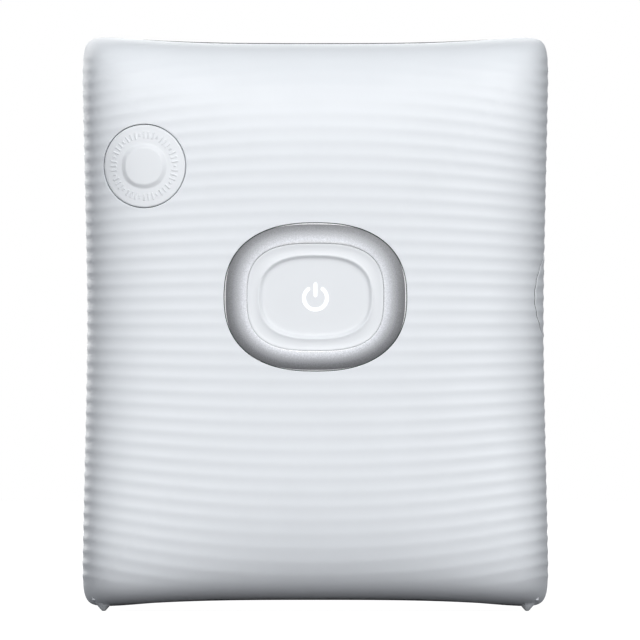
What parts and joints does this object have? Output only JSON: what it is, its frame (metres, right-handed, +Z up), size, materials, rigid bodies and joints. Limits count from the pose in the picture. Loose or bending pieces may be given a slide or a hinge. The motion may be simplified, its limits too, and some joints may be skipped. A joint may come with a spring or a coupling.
{
  "type": "portable instant film printer",
  "caption": "Pocket printer for instant film: ribbed pillow-shaped cover, oval power button in a silver ring, round function button, film door, rollers and gear train.",
  "frame": {"origin": "on the ground under the middle of the printer standing on its feet", "axes": "+Z up, -Y towards the front with the power button, +X to the right seen from the front"},
  "size_m": [0.1016, 0.0424, 0.1252],
  "materials": {
    "shell_white": "fine satin, moulded wave ribs",
    "casing_white": "fine satin",
    "button_white": "satin",
    "silver_trim": "metallic lacquer on plastic",
    "diffuser": "milky translucent",
    "black_plastic": "fine spark texture",
    "dark_trim": "satin",
    "smoke_window": "smoked clear",
    "foot_rubber": "matte",
    "roller_rubber": "ground",
    "foam": "open foam",
    "steel": "bright drawn",
    "spring_steel": "rolled",
    "bronze": "sintered",
    "gear_nylon": "moulded",
    "board_green": "solder mask",
    "shield_tin": "tinned",
    "switch_black": "moulded",
    "led_cream": "clear epoxy",
    "lens_glass": "polished",
    "cell_wrap": "aluminium laminate pouch",
    "lead_red": "insulated wire",
    "flex_amber": "polyimide",
    "connector_white": "moulded"
  },
  "bodies": {
    "housing": {"front_cover": "shell_white", "rear_frame": "casing_white", "foot_left": "foot_rubber", "foot_right": "foot_rubber", "slot_lining": "dark_trim", "power_ring": "silver_trim", "light_guide": "diffuser", "function_board": "board_green", "function_switch": "switch_black", "film_chamber": "black_plastic", "chamber_seal": "foam", "roller_frame": "black_plastic", "roller_bushings": "bronze", "gear_motor": "steel", "cam_axle": "steel", "claw_spring": "spring_steel", "exposure_head": "black_plastic", "lens_strip": "lens_glass", "head_board": "board_green", "ribbon_cable": "flex_amber", "main_board": "board_green", "processor_shield": "shield_tin", "power_switch": "switch_black", "status_leds": "led_cream", "usb_socket": "shield_tin", "port_tray": "dark_trim", "side_board": "board_green", "reset_switch": "switch_black", "battery": "cell_wrap", "battery_pad": "foam", "battery_lead": "lead_red", "battery_connector": "connector_white", "case_screws": "steel", "board_screws": "steel", "frame_screws": "steel"},
    "film_door": {"film_door": "casing_white", "door_window": "smoke_window", "door_pin": "steel", "door_springs": "spring_steel"},
    "door_lock": {"door_lock": "button_white"},
    "power_button": {"power_button": "button_white"},
    "function_button": {"function_button": "button_white"},
    "port_cover": {"port_cover": "shell_white", "port_pin": "steel"},
    "drive_roller": {"drive_roller": "roller_rubber", "drive_shaft": "steel", "drive_gear": "gear_nylon"},
    "pinch_roller": {"pinch_roller": "roller_rubber", "pinch_shaft": "steel", "pinch_gear": "gear_nylon"},
    "motor_pinion": {"motor_pinion": "gear_nylon"},
    "cam_gear": {"cam_gear": "gear_nylon"},
    "film_claw": {"film_claw": "spring_steel"},
    "slot_flap": {"slot_flap": "dark_trim"},
    "reset_button": {"reset_button": "button_white"}
  },
  "joints": [
    {"name": "film_door_hinge", "type": "hinge", "parent": "housing", "child": "film_door", "pos_m": [-0.0404, 0.0199, 0.057], "axis": [0, 0, 1], "range_deg": [0, 100]},
    {"name": "door_lock_slide", "type": "slide", "parent": "film_door", "child": "door_lock", "axis": [1, 0, 0], "range_m": [0, 0.0022]},
    {"name": "power_press", "type": "slide", "parent": "housing", "child": "power_button", "axis": [0, 1, 0], "range_m": [0, 0.0006], "stiffness_N_per_m": 400},
    {"name": "function_press", "type": "slide", "parent": "housing", "child": "function_button", "axis": [0.1836, 0.9828, -0.0224], "range_m": [0, 0.0005], "stiffness_N_per_m": 300},
    {"name": "port_cover_hinge", "type": "hinge", "parent": "housing", "child": "port_cover", "pos_m": [0.049, 0.00565, 0.0688], "axis": [0, 0, 1], "range_deg": [0, 110]},
    {"name": "drive_roller_spin", "type": "hinge", "parent": "housing", "child": "drive_roller", "pos_m": [0, -0.0016, 0.113], "axis": [1, 0, 0], "continuous": true},
    {"name": "pinch_roller_spin", "type": "hinge", "parent": "housing", "child": "pinch_roller", "pos_m": [0, 0.0054, 0.113], "axis": [1, 0, 0], "continuous": true},
    {"name": "motor_spin", "type": "hinge", "parent": "housing", "child": "motor_pinion", "pos_m": [0.04, 0.01233, 0.109], "axis": [1, 0, 0], "continuous": true},
    {"name": "cam_spin", "type": "hinge", "parent": "housing", "child": "cam_gear", "pos_m": [0.043, -0.0036, 0.10218], "axis": [1, 0, 0], "continuous": true},
    {"name": "film_claw_slide", "type": "slide", "parent": "housing", "child": "film_claw", "axis": [0, 0, 1], "range_m": [0, 0.003], "stiffness_N_per_m": 60, "springref_m": -0.001, "deforming": ["claw_spring"]},
    {"name": "slot_flap_hinge", "type": "hinge", "parent": "housing", "child": "slot_flap", "pos_m": [0, 0.0045, 0.1192], "axis": [-1, 0, 0], "range_deg": [0, 60], "stiffness_Nm_per_rad": 0.002, "springref_deg": -5.73},
    {"name": "reset_press", "type": "slide", "parent": "housing", "child": "reset_button", "axis": [-1, 0, 0], "range_m": [0, 0.0003], "stiffness_N_per_m": 300}
  ],
  "couplings": [
    {"joint": "pinch_roller_spin", "follows": "drive_roller_spin", "ratio": -1},
    {"joint": "motor_spin", "follows": "drive_roller_spin", "ratio": 0.77778},
    {"joint": "cam_spin", "follows": "drive_roller_spin", "ratio": -0.46667}
  ]
}
